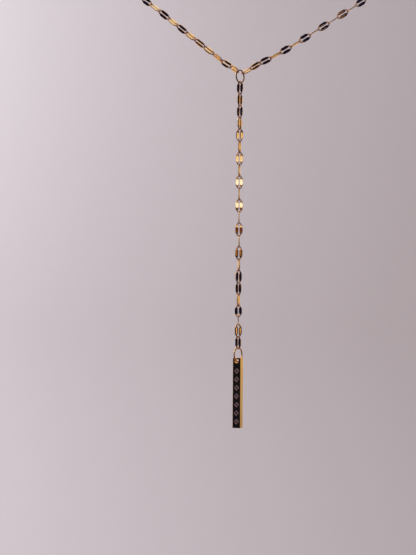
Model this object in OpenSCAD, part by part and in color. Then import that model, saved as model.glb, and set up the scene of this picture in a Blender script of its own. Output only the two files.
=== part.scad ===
// Y necklace: a neck loop of flattened-side chain, a Y ring, a drop chain and a square bar pendant.
// Millimetres, +Z up, front towards -Y. The origin is the nape, at the middle of the clasp.

/* [Chain links] */
// Outer length of one chain link
link_len = 6.16; // [5.4:0.02:7.6]
// Width across the two flattened sides of a link
link_w = 3.17; // [2.7:0.01:4]
// Gap between the two flattened sides
link_gap = 0.53; // [0.46:0.01:0.7]
// Diameter of the wire at a link's ends
link_wire = 0.42; // [0.34:0.01:0.5]
// Thickness of a link's flattened sides
plate_t = 0.44; // [0.2:0.01:0.45]
// Radius of the wire's centre line round a link's end
link_end_r = 0.84; // [0.82:0.01:0.9]
// Play between two linked wires
link_play = 0.19; // [0.18:0.01:0.3]

/* [Neck loop] */
// Width of the loop behind its front, between the middles of its two sides
loop_w = 139; // [134:1:144]

/* [Y ring] */
// Outer diameter of the ring where the three strands meet
y_ring_d = 6.1; // [5.2:0.1:8]
// Diameter of the Y ring's wire
y_ring_wire = 0.6; // [0.4:0.02:0.62]
// Turn of the Y ring's plane away from the line of sight
y_ring_turn = 39; // [25:1:60]
// Height of the Y ring's centre below the nape
y_ring_low = 86; // [70:1:110]
// Distance of the Y ring's centre in front of the nape
y_ring_front = 106; // [95:1:120]
// Distance of the Y ring's centre to the side of the nape
y_ring_side = -5; // [-8:0.5:8]

/* [Drop] */
// Number of links in the drop chain
drop_links = 23; // [8:1:30]
// Lean of the first of the drop's two kinked links
kink_lean = 32.5; // [0:0.5:34]

/* [Pendant ring] */
// Outer diameter of the ring that holds the bar
bar_ring_d = 6.8; // [6.4:0.1:8]
// Diameter of the pendant ring's wire
bar_ring_wire = 0.6; // [0.4:0.02:0.62]
// Turn of the pendant ring's plane away from the line of sight
bar_ring_turn = 34; // [20:1:45]

/* [Pendant bar] */
// Length of the bar
bar_len = 30.5; // [22:0.5:45]
// Side of the bar's square section
bar_w = 3.5; // [3:0.1:3.8]
// Turn of the bar's front face to the viewer's left
bar_turn = 20.5; // [12:0.5:30]
// Diameter of the hole through the bar
bar_hole_d = 1.9; // [1.84:0.02:2.1]
// Distance of the hole's centre below the bar's top
bar_hole_low = 1.35; // [1.25:0.05:2]
// Bevel along the bar's edges
bar_bevel = 0.08; // [0.05:0.01:0.3]
// Play between the pendant ring's wire and the lower side of the hole
bar_hang = 0.2; // [0.15:0.01:0.25]

/* [Engraved row] */
// Number of engraved lozenges down the bar's front face
mark_count = 7; // [3:1:9]
// Width of one lozenge
mark_w = 2.2; // [1.2:0.1:2.4]
// Height of one lozenge
mark_h = 2.6; // [1.4:0.1:2.6]
// Width of the engraved line
mark_line = 0.36; // [0.2:0.02:0.4]
// Depth of the engraving
mark_depth = 0.16; // [0.08:0.02:0.3]
// Distance from the bar's top to the first lozenge's middle
mark_top = 5.6; // [4.6:0.1:8]
// Distance from the last lozenge's middle to the bar's foot
mark_foot = 2.9; // [2:0.1:6]

/* [Clasp] */
// Length of the clasp's barrel
clasp_len = 8; // [6:0.5:14]
// Diameter of the clasp's barrel
clasp_d = 3.4; // [2.6:0.1:4.5]
// Bevel at the barrel's ends
clasp_bevel = 0.5; // [0.2:0.05:0.9]
// Outer diameter of the eye at each end of the clasp
clasp_eye_d = 2.7; // [2.5:0.1:3.4]
// Diameter of the eyes' wire
clasp_eye_wire = 0.6; // [0.4:0.02:0.62]
// Depth to which an eye is sunk into the barrel
clasp_eye_sink = 0.7; // [0.5:0.05:0.9]

/* [Hidden] */
gold = [0.83, 0.62, 0.32];
dark_gold = [0.62, 0.43, 0.2];
round_fn = 64;
over = 0.2;

// Chosen points of each strand's front, counted from the Y ring's centre
left_front = [[-6, 2.7, 5.8], [-14, 4.5, 12.3], [-26, 6.2, 21.9], [-42.1, 8.6, 34.8]];
right_front = [[6.7, 4.6, 5.4], [20.3, 6.6, 13], [37.3, 9.5, 24.2], [53.6, 12.4, 35.3]];
// Chosen points of both strands from there round to the nape, as shares of half of the loop's width
// and of the Y ring's distance and height
back_route = [[0.872, 0.802, 0.485], [0.972, 0.66, 0.392], [1, 0.472, 0.287], [0.9, 0.28, 0.157],
    [0.614, 0.106, 0.052], [0.286, 0.016, 0.006]];
function back_points(side) = [for (p = back_route)
    [side * p[0] * loop_w / 2, -p[1] * y_ring_front, -p[2] * y_ring_low]];
// Place where each strand holds the Y ring, as an angle from the ring's top
left_hold = -39;
right_hold = 52;

// Twist of a strand, added to the roll of its first link: [link counted from the Y ring, degrees]
left_twist = [[0, -2], [1, -10], [2, -10], [3, 8], [4, 7], [5, 12], [6, 14], [9, 22], [60, 22]];
right_twist = [[0, 8], [1, 22], [2, 41], [3, 52], [4, 55], [6, 60], [8, 68], [10, 74], [60, 74]];
// Twist of the drop, as [share of the drop, share of its whole twist], and the place of its kink
drop_twist = [[0, 0], [0.09, -0.02], [0.18, 0.095], [0.36, 0.165], [0.55, 0.22], [0.636, 0.261],
    [0.682, 0.296], [0.727, 0.412], [0.773, 0.492], [0.818, 0.616], [0.864, 0.708], [0.909, 0.722],
    [0.955, 0.85], [1, 1]];
kink_share = 0.86;
// Angle left between the last link's own turn and the pendant ring's
ring_lag = 9;

// Flattened side of a link: [place along the straight side, inner edge, outer edge], the place
// as a share of half of the straight side and the edges as shares of the side's width
side_sections = [[0.6, 0.08, 0.88], [0, 0, 1], [-0.6, 0.08, 0.88]];
// Angle round a link's end at which the round wire starts to spread
shoulder = 45;
// Sides of the wire, the angle between its corners, and a flat's distance as a share of a corner's
sides = 6;
side_angle = 360 / sides;
flat_share = cos(side_angle / 2);

side_w = (link_w - link_gap) / 2;
straight = link_len / 2 - link_wire / 2 - link_end_r;
pitch = link_len - 2 * link_wire - link_play;
y_ring_at = [y_ring_side, -y_ring_front, -y_ring_low];
y_ring_r = (y_ring_d - y_ring_wire) / 2;
bar_ring_r = (bar_ring_d - bar_ring_wire) / 2;
clasp_eye_r = (clasp_eye_d - clasp_eye_wire) / 2;
clasp_reach = clasp_len / 2 - clasp_eye_sink + clasp_eye_wire / 2 + 2 * clasp_eye_r;

function unit(v) = v / norm(v);
function level(turn) = [sin(turn), cos(turn), 0];

// Distance from a link's middle to the middle of a wire that its end holds
function reach(wire) = link_len / 2 - link_wire - wire / 2 - link_play;

// One section of a link: [place along, place across, direction across, width, thickness]
function end_section(a) = [straight + link_end_r * cos(a), link_end_r * sin(a), a,
    link_wire, link_wire * flat_share];
function side_section(row) = [straight * row[0], (link_gap + side_w * (row[1] + row[2])) / 2, 90,
    side_w * (row[2] - row[1]), plate_t];
function far_end(s) = [-s[0], s[1], 180 - s[2], s[3], s[4]];
half_link = concat([end_section(0), end_section(shoulder)], [for (row = side_sections) side_section(row)],
    [far_end(end_section(shoulder))]);
link_sections = concat(half_link, [for (s = half_link) [-s[0], -s[1], s[2] + 180, s[3], s[4]]]);
link_points = [for (s = link_sections) for (k = [0:sides - 1])
    let (out = s[3] / 2 * cos(k * side_angle), up = s[4] / 2 * sin(k * side_angle) / flat_share)
    [s[0] + out * cos(s[2]), s[1] + out * sin(s[2]), up]];
ring_count = len(link_sections);
function corner(r, k) = (r % ring_count) * sides + k % sides;
link_faces = [for (r = [0:ring_count - 1]) for (k = [0:sides - 1]) for (half = [0, 1])
    half == 0 ? [corner(r, k), corner(r, k + 1), corner(r + 1, k + 1)]
        : [corner(r, k), corner(r + 1, k + 1), corner(r + 1, k)]];

// Smooth curve through chosen points, with its length so far: [length, point]
function curve_point(p, i, t) = let (
    a = p[max(i - 1, 0)], b = p[i], c = p[i + 1], d = p[min(i + 2, len(p) - 1)],
    m = (c - a) / 2, n = (d - b) / 2)
    b * (2 * t^3 - 3 * t^2 + 1) + m * (t^3 - 2 * t^2 + t) + c * (3 * t^2 - 2 * t^3) + n * (t^3 - t^2);
steps = 12;
lead = 2;
function fine(p) = [for (i = [0:len(p) - 2]) for (k = [0:steps - 1]) curve_point(p, i, k / steps),
    p[len(p) - 1]];
function with_leads(f) = let (n = len(f) - 1)
    concat([f[0] + lead * unit(f[0] - f[1])], f, [f[n] + lead * unit(f[n] - f[n - 1])]);
function measured(f) = [for (i = 0, s = -lead; i < len(f);
    s = i < len(f) - 1 ? s + norm(f[i + 1] - f[i]) : s, i = i + 1) [s, f[i]]];
function along(route, s) = [for (axis = [0:2]) lookup(s, [for (row = route) [row[0], row[1][axis]]])];

// Frames of a row of links: [middle, direction, across, facing]
function square_to(v, t) = unit(v - t * (v * t));
function carried(v, from, to) = v - (from + to) * (v * to) / (1 + from * to);
function turned_frames(middles, ways, rolls) = let (
    count = len(middles),
    fronts = [for (i = 0, n = square_to([0, -1, 0], ways[0]); i < count;
        n = i < count - 1 ? carried(n, ways[i], ways[i + 1]) : n, i = i + 1) n])
    [for (i = [0:count - 1]) let (t = ways[i], n = fronts[i], b = cross(n, t), r = rolls[i])
        [middles[i], t, cos(r) * b + sin(r) * n, cos(r) * n - sin(r) * b]];
function link_frames(joints, rolls) = turned_frames(
    [for (i = [1:len(joints) - 1]) (joints[i] + joints[i - 1]) / 2],
    [for (i = [1:len(joints) - 1]) unit(joints[i] - joints[i - 1])],
    rolls);

// Roll at which a link's end lies square to the ring's wire, at an angle from the ring's top
function hold_roll(t, turn, hold) = let (
    wire = cos(hold) * level(turn) - sin(hold) * [0, 0, 1],
    n = square_to([0, -1, 0], t),
    b = cross(n, t))
    atan2(wire * b, -wire * n);
function on_ring(centre, r, turn, hold) = centre + r * (sin(hold) * level(turn) + cos(hold) * [0, 0, 1]);

// A strand of the neck loop, from the Y ring to an eye of the clasp
function strand(front, hold, twist, side) = let (
    start = on_ring(y_ring_at, y_ring_r, y_ring_turn, hold),
    clasp_end = [side * clasp_reach, 0, 0],
    points = concat([start], [for (p = front) y_ring_at + p], back_points(side), [clasp_end]),
    route = measured(with_leads(fine(points))),
    free = route[len(route) - 2][0] - reach(y_ring_wire) - reach(clasp_eye_wire),
    count = ceil(free / pitch) + 1,
    step = free / (count - 1),
    joints = [for (i = [0:count]) along(route, reach(y_ring_wire) + (i - 0.5) * step)],
    first = hold_roll(unit(joints[1] - joints[0]), y_ring_turn, hold))
    link_frames(joints, [for (i = [0:count - 1]) first + lookup(i, twist) + (i % 2) * 90]);
left_frames = strand(left_front, left_hold, left_twist, -1);
right_frames = strand(right_front, right_hold, right_twist, 1);

// The drop, straight down from the Y ring but for two kinked links that lean to the front and
// back to the chain's line, in the plane of the second one
drop_end = drop_links - 1;
whole_twist = bar_ring_turn + ring_lag - y_ring_turn - 180;
drop_rolls = [for (i = [0:drop_end])
    y_ring_turn + whole_twist * lookup(i / drop_end, drop_twist) + (i % 2) * 90];
kink_at = round(drop_end * kink_share);
kink_way = -180 - drop_rolls[kink_at + 1];
wire_span = link_len - link_wire;
linked_span = wire_span - pitch;
kink_back = -asin(sin(kink_lean) * wire_span / (wire_span - 2 * linked_span));
function lean(i) = i == kink_at ? kink_lean : i == kink_at + 1 ? kink_back : 0;
drop_ways = [for (i = [0:drop_end])
    [sin(lean(i)) * cos(kink_way), sin(lean(i)) * sin(kink_way), -cos(lean(i))]];
function drop_step(i) = wire_span * (drop_ways[i] + drop_ways[i + 1]) / 2
    - linked_span * drop_ways[i == kink_at ? i + 1 : i];
drop_start = on_ring(y_ring_at, y_ring_r, y_ring_turn, 180) - [0, 0, reach(y_ring_wire)];
drop_middles = [for (i = 0, p = drop_start; i < drop_links;
    p = i < drop_end ? p + drop_step(i) : p, i = i + 1) p];
drop_frames = turned_frames(drop_middles, drop_ways, drop_rolls);

// The pendant ring hangs on the last link, and the bar on the pendant ring
last_link = drop_frames[drop_end];
bar_ring_at = last_link[0] - [0, 0, reach(bar_ring_wire) + bar_ring_r];
bar_hole_at = bar_ring_at - [0, 0, bar_ring_r + bar_ring_wire / 2 + bar_hang - bar_hole_d / 2];

module chain(frames) {
    polyhedron(
        points = [for (f = frames) for (p = link_points) f[0] + p[0] * f[1] + p[1] * f[2] + p[2] * f[3]],
        faces = [for (i = [0:len(frames) - 1]) for (q = link_faces) [for (v = q) v + i * len(link_points)]]);
}

module neck_chain_left() {
    color(gold) chain(left_frames);
}

module neck_chain_right() {
    color(gold) chain(right_frames);
}

module drop_chain() {
    color(gold) chain(drop_frames);
}

// A closed wire ring, standing in the plane of X and Z
module wire_ring(r, wire) {
    rotate([90, 0, 0])
        rotate_extrude($fn = round_fn)
            translate([r, 0])
                circle(d = wire, $fn = round_fn / 2);
}

module y_ring() {
    color(dark_gold)
        translate(y_ring_at)
            rotate([0, 0, 90 - y_ring_turn])
                wire_ring(y_ring_r, y_ring_wire);
}

module pendant_ring() {
    color(dark_gold)
        translate(bar_ring_at)
            rotate([0, 0, 90 - bar_ring_turn])
                wire_ring(bar_ring_r, bar_ring_wire);
}

function bevelled(w, h, c) = [for (corner = [[1, -1], [1, 1], [-1, 1], [-1, -1]])
    for (cut = corner[0] * corner[1] < 0 ? [[c, 0], [0, c]] : [[0, c], [c, 0]])
        [corner[0] * (w / 2 - cut[0]), corner[1] * (h / 2 - cut[1])]];

// The plain bar, hung from its top, with bevelled edges
module bar_stock() {
    translate([0, 0, -bar_len / 2])
        intersection() {
            linear_extrude(height = bar_len, center = true)
                polygon(bevelled(bar_w, bar_w, bar_bevel));
            rotate([90, 0, 0])
                linear_extrude(height = bar_w, center = true)
                    polygon(bevelled(bar_w, bar_len, bar_bevel));
            rotate([90, 0, 90])
                linear_extrude(height = bar_w, center = true)
                    polygon(bevelled(bar_w, bar_len, bar_bevel));
        }
}

// A lozenge, and the share of its size that is left inside a line along its edge
function lozenge(w, h) = [[0, -h / 2], [w / 2, 0], [0, h / 2], [-w / 2, 0]];
mark_inside = 1 - 2 * mark_line * norm([mark_w, mark_h]) / (mark_w * mark_h);

// One engraved lozenge outline with a dot in its middle, facing -Y
module engraved_mark() {
    rotate([90, 0, 0])
        linear_extrude(height = mark_depth + over) {
            difference() {
                polygon(lozenge(mark_w, mark_h));
                polygon(lozenge(mark_w * mark_inside, mark_h * mark_inside));
            }
            circle(d = mark_line, $fn = 24);
        }
}

module pendant_bar() {
    mark_step = (bar_len - mark_top - mark_foot) / (mark_count - 1);
    color(gold)
        translate(bar_hole_at)
            rotate([0, 0, -bar_turn])
                translate([0, 0, bar_hole_low])
                    difference() {
                        bar_stock();
                        translate([0, 0, -bar_hole_low])
                            rotate([90, 0, 0])
                                cylinder(d = bar_hole_d, h = bar_w + 2 * over, center = true, $fn = round_fn);
                        for (i = [0:mark_count - 1])
                            translate([0, -bar_w / 2 + mark_depth, -mark_top - i * mark_step])
                                engraved_mark();
                    }
}

// One eye of the clasp, turned so that the link it holds hangs square to its wire
module eye(side, across) {
    translate([side * (clasp_reach - clasp_eye_r), 0, 0])
        rotate([atan2(across[2], across[1]), 0, 0])
            wire_ring(clasp_eye_r, clasp_eye_wire);
}

module clasp() {
    color(gold) {
        rotate([0, 90, 0]) {
            cylinder(d = clasp_d, h = clasp_len - 2 * clasp_bevel, center = true, $fn = round_fn);
            for (side = [-1, 1])
                scale([1, 1, side])
                    translate([0, 0, clasp_len / 2 - clasp_bevel])
                        cylinder(
                            d1 = clasp_d, d2 = clasp_d - 2 * clasp_bevel, h = clasp_bevel, $fn = round_fn);
        }
        eye(-1, left_frames[len(left_frames) - 1][2]);
        eye(1, right_frames[len(right_frames) - 1][2]);
    }
}

neck_chain_left();
neck_chain_right();
clasp();
y_ring();
drop_chain();
pendant_ring();
pendant_bar();
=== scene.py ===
import bmesh
import bpy
import math
import numpy as np
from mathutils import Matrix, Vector


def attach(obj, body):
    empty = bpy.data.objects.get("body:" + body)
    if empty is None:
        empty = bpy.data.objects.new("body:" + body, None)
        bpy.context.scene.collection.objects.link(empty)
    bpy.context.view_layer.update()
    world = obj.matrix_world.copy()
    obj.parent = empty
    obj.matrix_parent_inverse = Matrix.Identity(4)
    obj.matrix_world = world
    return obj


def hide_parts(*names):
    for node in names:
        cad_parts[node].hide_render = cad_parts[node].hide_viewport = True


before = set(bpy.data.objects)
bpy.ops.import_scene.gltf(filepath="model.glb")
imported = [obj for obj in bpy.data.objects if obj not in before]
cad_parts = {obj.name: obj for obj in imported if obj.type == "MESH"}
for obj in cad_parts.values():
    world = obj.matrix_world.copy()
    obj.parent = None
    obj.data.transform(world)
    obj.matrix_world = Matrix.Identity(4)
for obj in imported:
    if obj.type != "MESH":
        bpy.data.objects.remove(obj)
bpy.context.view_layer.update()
print("frame loaded:", len(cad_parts), "nodes")

mm = 0.001
joinDistance = 0.001 * mm


# reading the frame

def mergedCopy(node, name):
    # a copy of a CAD node with its loose triangles joined
    mesh = node.data.copy()
    mesh.name = name
    mesh.transform(node.matrix_world)
    shape = bmesh.new()
    shape.from_mesh(mesh)
    bmesh.ops.remove_doubles(shape, verts=shape.verts, dist=joinDistance)
    shape.to_mesh(mesh)
    shape.free()
    mesh.materials.clear()
    shading = mesh.attributes.get("custom_normal")    # it no longer fits the joined corners
    if shading:
        mesh.attributes.remove(shading)
    mesh.update()
    return mesh


def islandsOf(mesh):
    # corners of each closed solid in a mesh
    owner = list(range(len(mesh.vertices)))

    def root(i):
        while owner[i] != i:
            owner[i] = owner[owner[i]]
            i = owner[i]
        return i

    for edge in mesh.edges:
        a, b = root(edge.vertices[0]), root(edge.vertices[1])
        if a != b:
            owner[max(a, b)] = min(a, b)
    groups = {}
    for i in range(len(mesh.vertices)):
        groups.setdefault(root(i), []).append(i)
    return list(groups.values())


def axesOf(points):
    # middle of a symmetric solid and its axes, the longest first
    middle = points.mean(axis=0)
    values, vectors = np.linalg.eigh(np.cov((points - middle).T))
    return middle, vectors[:, 2], vectors[:, 1], vectors[:, 0]


def pointsOf(mesh):
    flat = np.empty(len(mesh.vertices) * 3)
    mesh.vertices.foreach_get("co", flat)
    return flat.reshape(-1, 3)


def newPiece(name, mesh, body, material):
    piece = bpy.data.objects.new(name, mesh)
    bpy.context.scene.collection.objects.link(piece)
    if material:
        mesh.materials.clear()
        mesh.materials.append(material)
    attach(piece, body)
    return piece


# gold finishes

finishChoices = {
    "cloudDetail": 3.0, "cloudEdges": (0.34, 0.66),
    "smudgeDetail": 4.0, "smudgeEdges": (0.35, 0.7),
    "waveDetail": 1.0, "scratchDetail": 2.0, "scratchDepth": 0.01,
}


def addNode(tree, kind, at, **values):
    node = tree.nodes.new(kind)
    node.location = at
    for key, value in values.items():
        setattr(node, key, value)
    return node


def goldMaterial(name, look):
    material = bpy.data.materials.new(name)
    material.use_nodes = True
    tree = material.node_tree
    link = tree.links.new
    skin = tree.nodes["Principled BSDF"]
    skin.inputs["Metallic"].default_value = 1.0
    place = addNode(tree, "ShaderNodeTexCoord", (-1300, 0))

    # cloudy change between the two golds, a few millimetres across
    clouds = addNode(tree, "ShaderNodeTexNoise", (-1080, 260))
    clouds.inputs["Scale"].default_value = 1 / (look["cloudSize"] * mm)
    clouds.inputs["Detail"].default_value = finishChoices["cloudDetail"]
    link(place.outputs["Object"], clouds.inputs["Vector"])
    tones = addNode(tree, "ShaderNodeValToRGB", (-860, 260))
    golds = (look["deepGold"], look["paleGold"])
    for stop, edge, gold in zip(tones.color_ramp.elements, finishChoices["cloudEdges"], golds):
        stop.position = edge
        stop.color = (*gold, 1)
    if look.get("toneMark"):
        # each link has its own tone too
        own = addNode(tree, "ShaderNodeAttribute", (-1280, 460), attribute_name=look["toneMark"])
        shifted = addNode(tree, "ShaderNodeMath", (-1080, 460), operation="MULTIPLY_ADD")
        shifted.inputs[1].default_value = look["toneShare"]
        shifted.inputs[2].default_value = -look["toneShare"] / 2
        both = addNode(tree, "ShaderNodeMath", (-960, 400), operation="ADD", use_clamp=True)
        link(own.outputs["Fac"], shifted.inputs[0])
        link(shifted.outputs[0], both.inputs[0])
        link(clouds.outputs["Fac"], both.inputs[1])
        link(both.outputs[0], tones.inputs["Fac"])
    else:
        link(clouds.outputs["Fac"], tones.inputs["Fac"])

    # worn or unpolished places, and painted shade at the link ends and the ring's joint, are marked on the mesh
    # and get the darker gold
    darkerGoldMark = addNode(tree, "ShaderNodeAttribute", (-1080, -40), attribute_name=look["wearAndShadeMark"])
    wornAndShadedTone = addNode(tree, "ShaderNodeMix", (-560, 200), data_type="RGBA")
    wornAndShadedTone.inputs["B"].default_value = (*look["wornAndShadedGold"], 1)
    wornAndShadedShare = addNode(tree, "ShaderNodeMath", (-820, 20), operation="MULTIPLY", use_clamp=True)
    wornAndShadedShare.inputs[1].default_value = look["wearAndShadeShare"]
    link(darkerGoldMark.outputs["Fac"], wornAndShadedShare.inputs[0])
    link(wornAndShadedShare.outputs[0], wornAndShadedTone.inputs["Factor"])
    link(tones.outputs["Color"], wornAndShadedTone.inputs["A"])
    link(wornAndShadedTone.outputs["Result"], skin.inputs["Base Color"])

    # roughness: small smudges, and rougher where worn
    smudges = addNode(tree, "ShaderNodeTexNoise", (-1080, -260))
    smudges.inputs["Scale"].default_value = 1 / (look["smudgeSize"] * mm)
    smudges.inputs["Detail"].default_value = finishChoices["smudgeDetail"]
    link(place.outputs["Object"], smudges.inputs["Vector"])
    gloss = addNode(tree, "ShaderNodeMapRange", (-820, -260))
    for end, edge, value in zip(("Min", "Max"), finishChoices["smudgeEdges"], look["roughness"]):
        gloss.inputs["From " + end].default_value = edge
        gloss.inputs["To " + end].default_value = value
    link(smudges.outputs["Fac"], gloss.inputs["Value"])
    rough = addNode(tree, "ShaderNodeMath", (-560, -160), operation="MULTIPLY_ADD", use_clamp=True)
    rough.inputs[1].default_value = look["wornRoughness"]
    brush = addNode(tree, "ShaderNodeAttribute", (-820, -120),
                    attribute_name=look.get("brushMark", look["wearAndShadeMark"]))
    link(brush.outputs["Fac"], rough.inputs[0])
    link(gloss.outputs["Result"], rough.inputs[2])
    link(rough.outputs[0], skin.inputs["Roughness"])

    # relief: slow waves left by pressing and polishing, then fine hairline scratches
    waves = addNode(tree, "ShaderNodeTexNoise", (-1080, -520))
    waves.inputs["Scale"].default_value = 1 / (look["waveSize"] * mm)
    waves.inputs["Detail"].default_value = finishChoices["waveDetail"]
    link(place.outputs["Object"], waves.inputs["Vector"])
    waveBump = addNode(tree, "ShaderNodeBump", (-560, -460))
    waveBump.inputs["Strength"].default_value = look["waveStrength"]
    waveBump.inputs["Distance"].default_value = look["waveDepth"] * mm
    link(waves.outputs["Fac"], waveBump.inputs["Height"])
    stretch = addNode(tree, "ShaderNodeMapping", (-1280, -760))
    stretch.inputs["Scale"].default_value = look["scratchWay"]
    link(place.outputs["Object"], stretch.inputs["Vector"])
    scratches = addNode(tree, "ShaderNodeTexNoise", (-1080, -760))
    scratches.inputs["Scale"].default_value = 1 / (look["scratchSize"] * mm)
    scratches.inputs["Detail"].default_value = finishChoices["scratchDetail"]
    link(stretch.outputs["Vector"], scratches.inputs["Vector"])
    scratchBump = addNode(tree, "ShaderNodeBump", (-320, -460))
    scratchBump.inputs["Strength"].default_value = look["scratchStrength"]
    scratchBump.inputs["Distance"].default_value = finishChoices["scratchDepth"] * mm
    link(scratches.outputs["Fac"], scratchBump.inputs["Height"])
    link(waveBump.outputs["Normal"], scratchBump.inputs["Normal"])
    link(scratchBump.outputs["Normal"], skin.inputs["Normal"])
    return material


# chain links

linkChoices = {
    "length": 6.16, "width": 3.17, "gap": 0.41, "wire": 0.42,
    "plateThickness": 0.43, "endRadius": 0.84,
    "shoulder": 0.71,          # share of the end radius where the petals begin
    "roundAcross": 0.15, "roundUp": 0.2,    # 1 is round wire, less is a flatter plate
    "loopSegments": 36, "wireSegments": 12, "bendSegments": 12,
    # how far the wire is pressed flat, from the link's middle to the petals' ends
    "petalShape": [(0, 1), (0.4, 0.99), (0.56, 0.86), (0.7, 0.42), (0.84, 0.12), (1, 0)],
    "edgeSlope": 7.5, "edgeDrop": 6.5,      # the plates' dull edges begin at drop / slope of their half width
    "toneSeed": 7,
    # where the lowest link's slit opens: below its middle, and aside from its middle line
    "roomAt": 1.45, "roomReach": 0.9, "roomSide": 0.75, "roomFade": 0.45, "roomDepth": 0.12,
}
chainLook = {
    # the darker gold at the link ends is wear, and painted shade where the links hang in each other
    "deepGold": (0.88, 0.47, 0.13), "paleGold": (0.98, 0.6, 0.2), "wornAndShadedGold": (0.42, 0.14, 0.045),
    "cloudSize": 5, "toneMark": "linkTone", "toneShare": 0.3,
    "wearAndShadeMark": "endWearAndShade", "wearAndShadeShare": 0.8, "brushMark": "brushedEdge",
    "smudgeSize": 1.6, "roughness": (0.03, 0.07), "wornRoughness": 0.28,
    "waveSize": 1.6, "waveStrength": 0.06, "waveDepth": 0.04,
    "scratchWay": (1, 1, 0.2), "scratchSize": 0.12, "scratchStrength": 0.08,
}


def linkTree():
    # one pressed link from its sizes, set on every point along the points' own axes
    tree = bpy.data.node_groups.new("pressedLinkChain", "GeometryNodeTree")
    face = tree.interface
    face.new_socket("Link points", in_out="INPUT", socket_type="NodeSocketGeometry")
    for name in ["Length", "Width", "Gap", "Wire", "Plate thickness", "End radius", "Shoulder",
                 "Round across", "Round up"]:
        face.new_socket(name, in_out="INPUT", socket_type="NodeSocketFloat")
    for name in ["Loop segments", "Wire segments", "Tone seed"]:
        face.new_socket(name, in_out="INPUT", socket_type="NodeSocketInt")
    face.new_socket("Finish", in_out="INPUT", socket_type="NodeSocketMaterial")
    face.new_socket("Chain", in_out="OUTPUT", socket_type="NodeSocketGeometry")
    given = addNode(tree, "NodeGroupInput", (-2400, 0))
    size = given.outputs
    column = [0]

    def calc(operation, a, b=None, c=None):
        column[0] += 1
        node = addNode(tree, "ShaderNodeMath", (-2100 + 60 * column[0], -200 - 40 * (column[0] % 9)),
                       operation=operation)
        for socket, value in zip(node.inputs, (a, b, c)):
            if value is None:
                continue
            if isinstance(value, (int, float)):
                socket.default_value = value
            else:
                tree.links.new(value, socket)
        return node.outputs[0]

    # round wire bent into a long loop
    halfLength = calc("MULTIPLY", calc("SUBTRACT", size["Length"], size["Wire"]), 0.5)
    straight = calc("SUBTRACT", halfLength, size["End radius"])
    loop = addNode(tree, "GeometryNodeCurvePrimitiveQuadrilateral", (-1500, 300))
    tree.links.new(calc("MULTIPLY", halfLength, 2), loop.inputs["Width"])
    tree.links.new(calc("MULTIPLY", size["End radius"], 2), loop.inputs["Height"])
    bend = addNode(tree, "GeometryNodeFilletCurve", (-1300, 300), mode="POLY")
    bend.inputs["Count"].default_value = linkChoices["bendSegments"]
    bend.inputs["Limit Radius"].default_value = True
    tree.links.new(loop.outputs["Curve"], bend.inputs["Curve"])
    tree.links.new(size["End radius"], bend.inputs["Radius"])
    even = addNode(tree, "GeometryNodeResampleCurve", (-1100, 300))
    tree.links.new(bend.outputs["Curve"], even.inputs["Curve"])
    tree.links.new(size["Loop segments"], even.inputs["Count"])
    level = addNode(tree, "GeometryNodeSetCurveNormal", (-900, 300), mode="Z_UP")
    tree.links.new(even.outputs["Curve"], level.inputs["Curve"])
    section = addNode(tree, "GeometryNodeCurvePrimitiveCircle", (-1100, 520), mode="RADIUS")
    tree.links.new(size["Wire segments"], section.inputs["Resolution"])
    wireRadius = calc("MULTIPLY", size["Wire"], 0.5)
    tree.links.new(wireRadius, section.inputs["Radius"])
    wire = addNode(tree, "GeometryNodeCurveToMesh", (-700, 300))
    tree.links.new(level.outputs["Curve"], wire.inputs["Curve"])
    tree.links.new(section.outputs["Curve"], wire.inputs["Profile Curve"])

    # place of a wire point: along the link, and out from the loop's own line
    spot = addNode(tree, "GeometryNodeInputPosition", (-2200, -700))
    parts = addNode(tree, "ShaderNodeSeparateXYZ", (-2040, -700))
    tree.links.new(spot.outputs[0], parts.inputs[0])
    alongLink, acrossLink, upLink = parts.outputs
    core = calc("MAXIMUM", calc("MINIMUM", alongLink, straight), calc("MULTIPLY", straight, -1))
    beyond = calc("SUBTRACT", alongLink, core)
    squares = calc("ADD", calc("MULTIPLY", beyond, beyond), calc("MULTIPLY", acrossLink, acrossLink))
    radius = calc("SQRT", squares)
    wayAlong = calc("DIVIDE", beyond, radius)
    wayAcross = calc("DIVIDE", acrossLink, radius)
    off = calc("SUBTRACT", radius, size["End radius"])
    onLine = calc("ABSOLUTE", calc("ADD", core, calc("MULTIPLY", wayAlong, size["End radius"])))
    petalEnd = calc("ADD", straight, calc("MULTIPLY", size["End radius"], size["Shoulder"]))
    shape = addNode(tree, "ShaderNodeFloatCurve", (-900, -700))
    tree.links.new(calc("DIVIDE", onLine, petalEnd), shape.inputs["Value"])
    curve = shape.mapping.curves[0]
    corners = linkChoices["petalShape"]
    while len(curve.points) < len(corners):
        curve.points.new(0.5, 0.5)
    for point, (x, y) in zip(curve.points, corners):
        point.location = (x, y)
    shape.mapping.update()
    petal = shape.outputs[0]

    # the petals: the wire is pressed wide and flat between the ends
    petalWidth = calc("MULTIPLY", calc("SUBTRACT", size["Width"], size["Gap"]), 0.5)
    spread = calc("MULTIPLY_ADD", petal, calc("SUBTRACT", calc("DIVIDE", petalWidth, size["Wire"]), 1), 1)
    petalMiddle = calc("MULTIPLY", calc("ADD", size["Gap"], petalWidth), 0.5)
    shift = calc("MULTIPLY", petal, calc("SUBTRACT", petalMiddle, size["End radius"]))

    def squared(offset, name):
        # the round section grows flat faces as the petal spreads
        power = calc("SUBTRACT", 1, calc("MULTIPLY", petal, calc("SUBTRACT", 1, size[name])))
        share = calc("POWER", calc("DIVIDE", calc("ABSOLUTE", offset), wireRadius), power)
        return calc("MULTIPLY", calc("MULTIPLY", calc("SIGN", offset), share), wireRadius)

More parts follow.
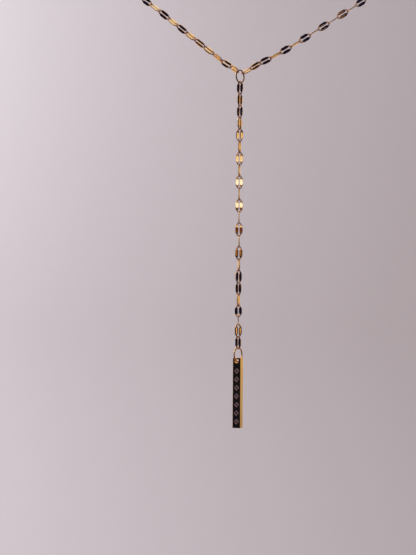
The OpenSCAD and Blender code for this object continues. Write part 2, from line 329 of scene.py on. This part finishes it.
    widened = calc("MULTIPLY", squared(off, "Round across"), spread)
    out = calc("ADD", calc("ADD", size["End radius"], shift), widened)
    pressed = squared(upLink, "Round up")
    flatter = calc("SUBTRACT", calc("DIVIDE", size["Plate thickness"], size["Wire"]), 1)
    thin = calc("MULTIPLY_ADD", petal, flatter, 1)
    target = addNode(tree, "ShaderNodeCombineXYZ", (-500, -300))
    tree.links.new(calc("ADD", core, calc("MULTIPLY", wayAlong, out)), target.inputs[0])
    tree.links.new(calc("MULTIPLY", wayAcross, out), target.inputs[1])
    tree.links.new(calc("MULTIPLY", pressed, thin), target.inputs[2])
    # the round wire ends, where the links meet, get the darker gold: wear and painted shade
    marked = addNode(tree, "GeometryNodeStoreNamedAttribute", (-500, 300), data_type="FLOAT", domain="POINT")
    marked.inputs["Name"].default_value = "endWearAndShade"
    tree.links.new(wire.outputs["Mesh"], marked.inputs["Geometry"])
    tree.links.new(calc("SUBTRACT", 1, petal), marked.inputs["Value"])
    # only the flat faces are polished bright: the plates' edges and the wire stay duller
    outward = calc("DIVIDE", calc("ABSOLUTE", off), wireRadius)
    edge = calc("MAXIMUM", calc("MULTIPLY_ADD", outward, linkChoices["edgeSlope"], -linkChoices["edgeDrop"]), 0)
    dulled = addNode(tree, "GeometryNodeStoreNamedAttribute", (-400, 460), data_type="FLOAT", domain="POINT")
    dulled.inputs["Name"].default_value = "brushedEdge"
    tree.links.new(marked.outputs["Geometry"], dulled.inputs["Geometry"])
    tree.links.new(calc("MAXIMUM", edge, calc("SUBTRACT", 1, petal)), dulled.inputs["Value"])
    press = addNode(tree, "GeometryNodeSetPosition", (-300, 300))
    tree.links.new(dulled.outputs["Geometry"], press.inputs["Geometry"])
    tree.links.new(target.outputs[0], press.inputs["Position"])
    smooth = addNode(tree, "GeometryNodeSetShadeSmooth", (-120, 300))
    tree.links.new(press.outputs["Geometry"], smooth.inputs["Geometry"])

    # a link on every point
    way = addNode(tree, "GeometryNodeInputNamedAttribute", (-500, 800), data_type="FLOAT_VECTOR")
    way.inputs["Name"].default_value = "linkWay"
    facing = addNode(tree, "GeometryNodeInputNamedAttribute", (-500, 640), data_type="FLOAT_VECTOR")
    facing.inputs["Name"].default_value = "linkFacing"
    turn = addNode(tree, "FunctionNodeAxesToRotation", (-300, 740), primary_axis="X", secondary_axis="Z")
    tree.links.new(way.outputs["Attribute"], turn.inputs["Primary Axis"])
    tree.links.new(facing.outputs["Attribute"], turn.inputs["Secondary Axis"])
    dots = addNode(tree, "GeometryNodeMeshToPoints", (-120, 740))
    tree.links.new(size["Link points"], dots.inputs["Mesh"])
    strung = addNode(tree, "GeometryNodeInstanceOnPoints", (100, 500))
    tree.links.new(dots.outputs["Points"], strung.inputs["Points"])
    tree.links.new(smooth.outputs["Geometry"], strung.inputs["Instance"])
    tree.links.new(turn.outputs["Rotation"], strung.inputs["Rotation"])
    tone = addNode(tree, "FunctionNodeRandomValue", (100, 240), data_type="FLOAT")
    tree.links.new(size["Tone seed"], tone.inputs["Seed"])
    toned = addNode(tree, "GeometryNodeStoreNamedAttribute", (300, 500), data_type="FLOAT", domain="INSTANCE")
    toned.inputs["Name"].default_value = "linkTone"
    tree.links.new(strung.outputs["Instances"], toned.inputs["Geometry"])
    tree.links.new(tone.outputs[1], toned.inputs["Value"])
    real = addNode(tree, "GeometryNodeRealizeInstances", (500, 500))
    tree.links.new(toned.outputs["Geometry"], real.inputs["Geometry"])
    finish = addNode(tree, "GeometryNodeSetMaterial", (700, 500))
    tree.links.new(real.outputs["Geometry"], finish.inputs["Geometry"])
    tree.links.new(size["Finish"], finish.inputs["Material"])
    done = addNode(tree, "NodeGroupOutput", (900, 500))
    tree.links.new(finish.outputs["Geometry"], done.inputs["Chain"])
    return tree


def setInput(modifier, name, value):
    for socket in modifier.node_group.interface.items_tree:
        if socket.name == name and socket.in_out == "INPUT":
            modifier[socket.identifier] = value


def makeRingRoom(corners, frames):
    # the lowest link's slit opens a little towards its foot, so the swung ring clears the petals
    lowest = min(range(len(frames)), key=lambda i: frames[i][0][2])
    share = len(corners) // len(frames)
    middle, along, across = frames[lowest][:3]
    own = corners[lowest * share:(lowest + 1) * share]
    below = (own - middle) @ (along if along[2] < 0 else -along) / mm
    aside = (own - middle) @ across / mm
    reach = np.clip(1 - np.abs(below - linkChoices["roomAt"]) / linkChoices["roomReach"], 0, 1)
    inner = np.clip((linkChoices["roomSide"] - np.abs(aside)) / linkChoices["roomFade"], 0, 1)
    own += np.outer(np.sign(aside) * reach * inner * linkChoices["roomDepth"] * mm, across)


def pressedChain(nodeName, tree, finish, seed):
    # links of one strand, each where its CAD link is
    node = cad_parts[nodeName]
    solid = mergedCopy(node, "links")
    places = pointsOf(solid)
    frames = [axesOf(places[island]) for island in islandsOf(solid)]
    points = bpy.data.meshes.new(nodeName + "_points")
    points.from_pydata([f[0] for f in frames], [], [])
    for name, column in (("linkWay", 1), ("linkFacing", 3)):
        values = points.attributes.new(name, "FLOAT_VECTOR", "POINT")
        values.data.foreach_set("vector", np.array([f[column] for f in frames], dtype=np.float32).ravel())
    draft = bpy.data.objects.new(nodeName + "_draft", points)
    bpy.context.scene.collection.objects.link(draft)
    modifier = draft.modifiers.new("pressedLinks", "NODES")
    modifier.node_group = tree
    for name, key in (("Length", "length"), ("Width", "width"), ("Gap", "gap"), ("Wire", "wire"),
                      ("Plate thickness", "plateThickness"), ("End radius", "endRadius")):
        setInput(modifier, name, linkChoices[key] * mm)
    setInput(modifier, "Shoulder", linkChoices["shoulder"])
    setInput(modifier, "Round across", linkChoices["roundAcross"])
    setInput(modifier, "Round up", linkChoices["roundUp"])
    setInput(modifier, "Loop segments", linkChoices["loopSegments"])
    setInput(modifier, "Wire segments", linkChoices["wireSegments"])
    setInput(modifier, "Tone seed", linkChoices["toneSeed"] + seed)
    setInput(modifier, "Finish", finish)
    flats = draft.modifiers.new("flatPetals", "WEIGHTED_NORMAL")    # large faces keep their own shading
    flats.mode = "FACE_AREA"
    flats.weight = 100
    live = draft.evaluated_get(bpy.context.evaluated_depsgraph_get())
    mesh = bpy.data.meshes.new_from_object(live)
    mesh.name = nodeName + "_links"
    corners = pointsOf(mesh)
    if nodeName == "drop_chain":
        makeRingRoom(corners, frames)
    # no link reaches past its CAD strand
    corners = np.clip(corners, places.min(axis=0), places.max(axis=0))
    mesh.vertices.foreach_set("co", corners.ravel())
    mesh.update()
    bpy.data.objects.remove(draft)
    bpy.data.meshes.remove(points)
    bpy.data.meshes.remove(solid)
    piece = newPiece(nodeName + "_links", mesh, "chains", None)
    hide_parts(nodeName)
    print(nodeName, len(frames), "links", len(mesh.polygons), "faces")
    return piece


chainGold = goldMaterial("chainGold", chainLook)
pressedLinks = linkTree()
for number, nodeName in enumerate(["neck_chain_left", "neck_chain_right", "drop_chain"]):
    pressedChain(nodeName, pressedLinks, chainGold, number)


# rings

ringChoices = {
    "around": 96, "wireSegments": 20,
    "jointDepth": 0.16,        # share of the wire's radius cut away at the closed joint
    "joints": {"y_ring": 2.4, "pendant_ring": 3.6},
}
# painted shade: the Y ring's two golds are made near-black brown, and its joint's hairline nearly black
shadedRingLook = {
    "deepGold": (0.3, 0.13, 0.04), "paleGold": (0.6, 0.3, 0.09), "wornAndShadedGold": (0.1, 0.05, 0.03),
    "cloudSize": 3, "wearAndShadeMark": "jointShade", "wearAndShadeShare": 0.9,
    "smudgeSize": 1.2, "roughness": (0.08, 0.2), "wornRoughness": 0.3,
    "waveSize": 1.6, "waveStrength": 0.25, "waveDepth": 0.04,
    "scratchWay": (1, 1, 1), "scratchSize": 0.1, "scratchStrength": 0.15,
}
pendantRingLook = dict(shadedRingLook, deepGold=(0.72, 0.34, 0.08), paleGold=(0.95, 0.52, 0.14),
                       roughness=(0.26, 0.4))


def roundRing(nodeName, body, finish):
    # a smooth wire ring with the hairline joint where it was closed
    solid = mergedCopy(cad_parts[nodeName], "ring")
    places = pointsOf(solid)
    middle, *axes = axesOf(places)
    axis = axes[-1]
    outer = np.linalg.norm(places - middle, axis=1).max()
    wire = np.ptp(places @ axis)
    across = np.cross(axis, (0, 0, 1))
    across /= np.linalg.norm(across)
    upward = np.cross(across, axis)
    if upward[2] < 0:
        upward = -upward
    count, sides = ringChoices["around"], ringChoices["wireSegments"]
    joint = ringChoices["joints"][nodeName]
    angles = [2 * math.pi * i / count for i in range(count)]
    nearest = min(range(count), key=lambda i: abs(angles[i] - joint))
    shape = bmesh.new()
    shade = shape.verts.layers.float.new("jointShade")
    loops = []
    for i, angle in enumerate(angles):
        depth = ringChoices["jointDepth"] if i == nearest else 0
        turned = joint if i == nearest else angle
        outward = math.cos(turned) * upward + math.sin(turned) * across
        loop = []
        for k in range(sides):
            a = 2 * math.pi * k / sides
            spot = middle + outward * (outer - wire / 2) \
                + (math.cos(a) * outward + math.sin(a) * axis) * (wire / 2 * (1 - depth))
            corner = shape.verts.new(spot)
            corner[shade] = 1.0 if i == nearest else 0.0
            loop.append(corner)
        loops.append(loop)
    for i in range(count):
        here, there = loops[i], loops[(i + 1) % count]
        for k in range(sides):
            shape.faces.new((here[k], here[(k + 1) % sides], there[(k + 1) % sides], there[k]))
    bmesh.ops.recalc_face_normals(shape, faces=shape.faces)
    for polygon in shape.faces:
        polygon.smooth = True
    mesh = bpy.data.meshes.new(nodeName + "_wire")
    shape.to_mesh(mesh)
    shape.free()
    bpy.data.meshes.remove(solid)
    piece = newPiece(nodeName + "_wire", mesh, body, finish)
    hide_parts(nodeName)
    print(nodeName, "wire ring", round(outer * 2000, 2), "mm")
    return piece


roundRing("y_ring", "chains", goldMaterial("shadedRingGold", shadedRingLook))
roundRing("pendant_ring", "ring", goldMaterial("pendantRingGold", pendantRingLook))


# pendant bar

barChoices = {
    "edge": 0.03, "edgeSteps": 2, "softAngle": 28,
    # the engraving lies between these depths, inside the rim and below the hole's part of the bar
    "markStart": 0.05, "markDepth": 0.3, "rim": 0.3, "headLength": 3.2,
    "upright": 0.02, "bigShare": 0.5,       # which faces are sides of the bar
}
barLook = {
    "deepGold": (0.9, 0.42, 0.05), "paleGold": (0.98, 0.53, 0.09), "wornAndShadedGold": (0.52, 0.34, 0.28),
    "cloudSize": 9, "wearAndShadeMark": "engraved", "wearAndShadeShare": 1.0,
    "smudgeSize": 2.2, "roughness": (0.05, 0.13), "wornRoughness": 0.5,
    "waveSize": 6, "waveStrength": 0.12, "waveDepth": 0.05,
    "scratchWay": (1, 1, 0.08), "scratchSize": 0.1, "scratchStrength": 0.12,
}


def engravedBar(finish):
    mesh = mergedCopy(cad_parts["pendant_bar"], "pendant_bar_polished")
    places = pointsOf(mesh)
    # the front is the widest face that looks most towards -Y
    best = {}
    for polygon in mesh.polygons:
        key = tuple(round(value, 2) for value in polygon.normal)
        if abs(key[2]) < barChoices["upright"]:
            best[key] = best.get(key, 0) + polygon.area
    big = [key for key, area in best.items() if area > barChoices["bigShare"] * max(best.values())]
    front = np.array(min(big, key=lambda key: key[1]))
    front /= np.linalg.norm(front)
    side = np.cross(front, (0, 0, 1))
    depth = (places @ front).max() - places @ front
    middle = (places.max(axis=0) + places.min(axis=0)) / 2
    width = np.ptp(places @ front)
    inside = np.abs((places - middle) @ side) < width / 2 - barChoices["rim"] * mm
    below = places[:, 2] < places[:, 2].max() - barChoices["headLength"] * mm
    near = (depth < barChoices["markDepth"] * mm) & inside & below
    cut = near & (depth > barChoices["markStart"] * mm)
    softAngle = math.radians(barChoices["softAngle"])
    # the bar's own edges are softened, and the engraving stays crisp
    shape = bmesh.new()
    shape.from_mesh(mesh)
    weights = shape.edges.layers.float.new("bevel_weight_edge")
    for edge in shape.edges:
        crisp = near[edge.verts[0].index] and near[edge.verts[1].index]
        edge[weights] = 0.0 if crisp or edge.calc_face_angle() < softAngle else 1.0
    shape.to_mesh(mesh)
    shape.free()
    for polygon in mesh.polygons:
        polygon.use_smooth = True
    mesh.set_sharp_from_angle(angle=softAngle)
    marks = mesh.attributes.new("engraved", "FLOAT", "POINT")
    marks.data.foreach_set("value", cut.astype(np.float32))
    piece = newPiece("pendant_bar_polished", mesh, "bar", finish)
    edges = piece.modifiers.new("softEdges", "BEVEL")
    edges.width = barChoices["edge"] * mm
    edges.segments = barChoices["edgeSteps"]
    edges.limit_method = "WEIGHT"
    edges.harden_normals = True
    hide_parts("pendant_bar")
    print("pendant bar", int(cut.sum()), "engraved corners")
    return piece


engravedBar(goldMaterial("barGold", barLook))


# clasp

claspChoices = {
    "barrelLength": 8, "barrelWidth": 3.4, "endRound": 0.5,
    "around": 48, "roundSteps": 6,
    "eyeWidth": 2.7, "eyeWire": 0.6, "eyeAround": 40, "eyeSides": 16, "eyeStart": 0.15,
    "sharpAngle": 50,
}
claspLook = dict(chainLook, toneMark=None, wearAndShadeMark="claspWear", brushMark="claspWear", cloudSize=4,
                 wornAndShadedGold=(0.6, 0.28, 0.09), wornRoughness=0.2, scratchWay=(0.1, 1, 1),
                 roughness=(0.06, 0.14))


def plainClasp(finish):
    # a round barrel with rounded ends, and a closed wire eye at each end that lies as the CAD eye does
    solid = mergedCopy(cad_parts["clasp"], "clasp_polished")
    places = pointsOf(solid)
    half, radius = claspChoices["barrelLength"] * mm / 2, claspChoices["barrelWidth"] * mm / 2
    bend, steps = claspChoices["endRound"] * mm, claspChoices["roundSteps"]
    shape = bmesh.new()
    darkerGoldMark = shape.verts.layers.float.new("claspWear")

    def joined(loops, closed):
        for a, b in zip(loops, loops[1:] + loops[:1] if closed else loops[1:]):
            for k in range(len(a)):
                shape.faces.new((a[k], a[(k + 1) % len(a)], b[(k + 1) % len(a)], b[k])).smooth = True

    end = [(half - bend * (1 - math.sin(a)), radius - bend * (1 - math.cos(a)))
           for a in [math.pi / 2 * i / steps for i in range(steps + 1)]]
    barrel = []
    for x, out in [(-x, out) for x, out in reversed(end)] + end:
        turns = [2 * math.pi * k / claspChoices["around"] for k in range(claspChoices["around"])]
        barrel.append([shape.verts.new((x, out * math.cos(t), out * math.sin(t))) for t in turns])
    joined(barrel, False)
    shape.faces.new(barrel[0])
    shape.faces.new(barrel[-1])

    wire = claspChoices["eyeWire"] * mm / 2
    eyeRadius = claspChoices["eyeWidth"] * mm / 2 - wire
    for side in (-1, 1):
        tip = places[side * places[:, 0] > half + claspChoices["eyeStart"] * mm][:, 1:]
        flat = np.linalg.eigh(np.cov(tip.T))[1][:, 0]
        axis = np.array((0, flat[0], flat[1]))
        across = np.array((0, -flat[1], flat[0]))
        middle = np.array((side * (np.abs(places[:, 0]).max() - eyeRadius - wire), 0, 0))
        loops = []
        for i in range(claspChoices["eyeAround"]):
            a = 2 * math.pi * i / claspChoices["eyeAround"]
            outward = math.cos(a) * np.array((side, 0, 0)) + math.sin(a) * across
            loop = []
            for k in range(claspChoices["eyeSides"]):
                b = 2 * math.pi * k / claspChoices["eyeSides"]
                corner = shape.verts.new(middle + outward * (eyeRadius + wire * math.cos(b))
                                         + axis * wire * math.sin(b))
                corner[darkerGoldMark] = max(math.cos(a), 0) ** 2
                loop.append(corner)
            loops.append(loop)
        joined(loops, True)
    bmesh.ops.recalc_face_normals(shape, faces=shape.faces)
    mesh = bpy.data.meshes.new("clasp_barrel")
    shape.to_mesh(mesh)
    shape.free()
    mesh.set_sharp_from_angle(angle=math.radians(claspChoices["sharpAngle"]))
    bpy.data.meshes.remove(solid)
    piece = newPiece("clasp_barrel", mesh, "chains", finish)
    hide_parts("clasp")
    print("clasp done")
    return piece


plainClasp(goldMaterial("claspGold", claspLook))


# floor, backdrop and the dark and bright cards that the polished metal mirrors

studio = {
    "photoMiddle": (-0.0183, -0.1735), "plane": -0.106, "distance": 0.55, "roll": -0.43,
    "field": 0.2413,           # height of the photo's field at the necklace
    # the floor's height and its two front lines, then the curve up into the backdrop
    "floor": -0.75, "floorLines": (-12, -3.5), "backdropAt": 1.3, "backdropTop": 3.0, "backdropSide": 8,
    "sweep": 0.5, "sweepSteps": 16, "backdropTone": (0.6, 0.525, 0.53),
    "surroundTone": (0.9, 0.88, 0.92), "surroundStrength": 0.28,
    # the dome's reach in degrees, how much further it reaches at its sides, and where that begins
    "domeRadius": 0.56, "domeReach": 80, "domeSides": 27, "sidesFrom": 0.5, "sidesFade": 0.22,
    "domeRings": 20, "domeAround": 48, "darkGlow": (0.007, 0.012, 0.1),
    "ceiling": [(-2, -0.3, 0.9), (2, -0.3, 0.9), (2, 1.2, 0.9), (-2, 1.2, 0.9)], "ceilingGlow": (0.9, 1.0, 1.5),
    "cardRadius": 0.5, "cardStep": 3,
    # small cards: degrees from and to, and the heights of their lower and upper edges
    "lampPatch": (-48, -35, -0.072, -0.024), "lampGlow": (0.95, 0.72, 0.42),
    "doorPatch": (-36, -27, 0.085, 0.14), "doorGlow": (0.5, 0.36, 0.5),
    # large cards: degrees from and to; their glow as height above the camera, red, green, blue
    "window": (-24, 54), "side": (-172, -112),
    "sideGlow": [(-0.145, 0.4, 0.38, 0.38), (-0.1, 0.5, 0.49, 0.46), (-0.067, 0.64, 0.62, 0.5),
                 (-0.045, 0.8, 0.66, 0.48), (0.17, 0.8, 0.66, 0.48)],
    "windowGlow": [(0, 0.3, 0.22, 0.17), (0.012, 0.33, 0.25, 0.2), (0.027, 0.33, 0.25, 0.2),
                   (0.032, 0.12, 0.05, 0.06), (0.053, 0.12, 0.05, 0.06), (0.058, 1.7, 2.0, 4.0),
                   (0.079, 1.25, 1.6, 3.1), (0.099, 1.0, 1.2, 1.9), (0.12, 0.9, 0.9, 1.0),
                   (0.132, 0.8, 0.75, 0.8), (0.14, 0, 0, 0)],
}


def plainMaterial(name, colour, roughness=0.9):
    material = bpy.data.materials.new(name)
    material.use_nodes = True
    skin = material.node_tree.nodes["Principled BSDF"]
    skin.inputs["Base Color"].default_value = (*colour, 1)
    skin.inputs["Roughness"].default_value = roughness
    skin.inputs["Specular IOR Level"].default_value = 0.2
    return material


def paleSweep():
    # floor that rises into the backdrop in one curve
    profile = [(y, studio["floor"]) for y in studio["floorLines"]]
    for i in range(studio["sweepSteps"] + 1):
        a = math.pi / 2 * i / studio["sweepSteps"]
        profile.append((studio["backdropAt"] - studio["sweep"] * (1 - math.sin(a)),
                        studio["floor"] + studio["sweep"] * (1 - math.cos(a))))
    profile.append((studio["backdropAt"], studio["backdropTop"]))
    corners = [(x, y, z) for y, z in profile for x in (-studio["backdropSide"], studio["backdropSide"])]
    faces = [(2 * i, 2 * i + 1, 2 * i + 3, 2 * i + 2) for i in range(len(profile) - 1)]
    mesh = bpy.data.meshes.new("paleSweep")
    mesh.from_pydata(corners, [], faces)
    for polygon in mesh.polygons:
        polygon.use_smooth = True
    mesh.materials.append(plainMaterial("paleBackdrop", studio["backdropTone"]))
    sweep = bpy.data.objects.new("paleSweep", mesh)
    bpy.context.scene.collection.objects.link(sweep)


def layeredGlow(name, axisHeight, steps):
    # a glow that changes with its height
    material = bpy.data.materials.new(name)
    material.use_nodes = True
    tree = material.node_tree
    tree.nodes.remove(tree.nodes["Principled BSDF"])
    foot, top = steps[0][0], steps[-1][0]
    brightest = max(max(step[1:]) for step in steps)
    place = addNode(tree, "ShaderNodeTexCoord", (-900, 0))
    parts = addNode(tree, "ShaderNodeSeparateXYZ", (-700, 0))
    share = addNode(tree, "ShaderNodeMapRange", (-500, 0))
    share.inputs["From Min"].default_value = axisHeight + foot
    share.inputs["From Max"].default_value = axisHeight + top
    ramp = addNode(tree, "ShaderNodeValToRGB", (-300, 0))
    stops = ramp.color_ramp.elements
    while len(stops) < len(steps):
        stops.new(0.5)
    for stop, step in zip(stops, steps):
        stop.position = (step[0] - foot) / (top - foot)
    for stop, step in zip(ramp.color_ramp.elements, steps):
        stop.color = (*[value / brightest for value in step[1:]], 1)
    glow = addNode(tree, "ShaderNodeEmission", (0, 0))
    glow.inputs["Strength"].default_value = brightest
    tree.links.new(place.outputs["Object"], parts.inputs[0])
    tree.links.new(parts.outputs[2], share.inputs["Value"])
    tree.links.new(share.outputs["Result"], ramp.inputs["Fac"])
    tree.links.new(ramp.outputs["Color"], glow.inputs["Color"])
    tree.links.new(glow.outputs[0], tree.nodes["Material Output"].inputs["Surface"])
    return material


def glowMaterial(name, colour):
    # an even glow
    material = bpy.data.materials.new(name)
    material.use_nodes = True
    tree = material.node_tree
    tree.nodes.remove(tree.nodes["Principled BSDF"])
    glow = addNode(tree, "ShaderNodeEmission", (0, 0))
    glow.inputs["Color"].default_value = (*colour, 1)
    tree.links.new(glow.outputs[0], tree.nodes["Material Output"].inputs["Surface"])
    return material


def reflectionCard(name, corners, faces, material):
    # a stage piece that only polished metal sees
    mesh = bpy.data.meshes.new(name)
    mesh.from_pydata(corners, [], faces)
    mesh.materials.append(material)
    card = bpy.data.objects.new(name, mesh)
    bpy.context.scene.collection.objects.link(card)
    card.visible_camera = False
    card.visible_diffuse = False
    card.visible_shadow = False
    card.visible_transmission = False


def darkDome(centre, radius, material):
    # half of a sphere round the camera's side, which reaches further back at its two sides
    rings, around = studio["domeRings"], studio["domeAround"]
    corners, faces = [(centre[0], centre[1] - radius, centre[2])], []
    for i in range(1, rings + 1):
        for k in range(around):
            b = 2 * math.pi * k / around
            sideways = min(max(abs(math.cos(b)) - studio["sidesFrom"], 0) / studio["sidesFade"], 1)
            a = math.radians(studio["domeReach"] + studio["domeSides"] * sideways) * i / rings
            corners.append((centre[0] + radius * math.sin(a) * math.cos(b), centre[1] - radius * math.cos(a),
                            centre[2] + radius * math.sin(a) * math.sin(b)))
    for k in range(around):
        faces.append((0, 1 + k, 1 + (k + 1) % around))
    for i in range(rings - 1):
        for k in range(around):
            a, b = 1 + i * around + k, 1 + i * around + (k + 1) % around
            faces.append((a, a + around, b + around, b))
    reflectionCard("darkDome", corners, faces, material)


def curvedCard(name, centre, start, end, low, high, material):
    # an upright card round the drop; its angles are counted from the camera, positive to the left
    corners, faces = [], []
    radius = studio["cardRadius"]
    steps = int((end - start) / studio["cardStep"])
    for i in range(steps + 1):
        a = math.radians(start + (end - start) * i / steps)
        x, y = centre[0] - radius * math.sin(a), centre[1] - radius * math.cos(a)
        corners += [(x, y, centre[2] + low), (x, y, centre[2] + high)]
        if i:
            faces.append((2 * i - 2, 2 * i, 2 * i + 1, 2 * i - 1))
    reflectionCard(name, corners, faces, material)


paleSweep()
axisHeight = studio["photoMiddle"][1]
dropPlace = (-0.005, studio["plane"], axisHeight)
darkDome(dropPlace, studio["domeRadius"], glowMaterial("darkGlow", studio["darkGlow"]))
for name, steps in (("window", studio["windowGlow"]), ("side", studio["sideGlow"])):
    curvedCard(name + "Card", dropPlace, *studio[name], steps[0][0], steps[-1][0],
               layeredGlow(name + "Glow", axisHeight, steps))
for name in ("lamp", "door"):
    curvedCard(name + "Card", dropPlace, *studio[name + "Patch"],
               glowMaterial(name + "Glow", studio[name + "Glow"]))
reflectionCard("paleCeiling", studio["ceiling"], [(0, 1, 2, 3)],
               glowMaterial("ceilingGlow", studio["ceilingGlow"]))


# lights and camera

def softLight(name, at, target, size, power, colour):
    lamp = bpy.data.lights.new(name, "AREA")
    lamp.shape = "DISK"
    lamp.size = size
    lamp.energy = power
    lamp.color = colour
    light = bpy.data.objects.new(name, lamp)
    bpy.context.scene.collection.objects.link(light)
    light.location = at
    light.rotation_euler = (Vector(target) - Vector(at)).to_track_quat("-Z", "Y").to_euler()
    return light


# a row for each light: name, place, what it points at, size, power, colour
for row in [
    ("keyLight", (-1.2, -0.9, 1.1), (0, 0.2, -0.2), 0.9, 24, (1, 0.98, 0.97)),
    ("fillLight", (1.6, -1.2, 0.6), (0, 0, -0.2), 1.2, 4, (1, 0.85, 0.75)),
    ("backdropLight", (-1.2, 0.6, 0.4), (-0.7, 1.3, 0.1), 0.5, 16, (0.82, 0.92, 1)),
]:
    softLight(*row)
world = bpy.data.worlds.new("softSurround")
bpy.context.scene.world = world
world.use_nodes = True
surround = world.node_tree.nodes["Background"]
surround.inputs["Color"].default_value = (*studio["surroundTone"], 1)
surround.inputs["Strength"].default_value = studio["surroundStrength"]

lens = bpy.data.cameras.new("photoCamera")
lens.sensor_width = 36
lens.lens = 36 * studio["distance"] / studio["field"]
camera = bpy.data.objects.new("photoCamera", lens)
bpy.context.scene.collection.objects.link(camera)
camera.location = (studio["photoMiddle"][0], studio["plane"] - studio["distance"], axisHeight)
camera.rotation_euler = (math.radians(90), math.radians(studio["roll"]), 0)
bpy.context.scene.camera = camera
bpy.context.scene.view_settings.view_transform = "Standard"
print("stage, lights and camera done")
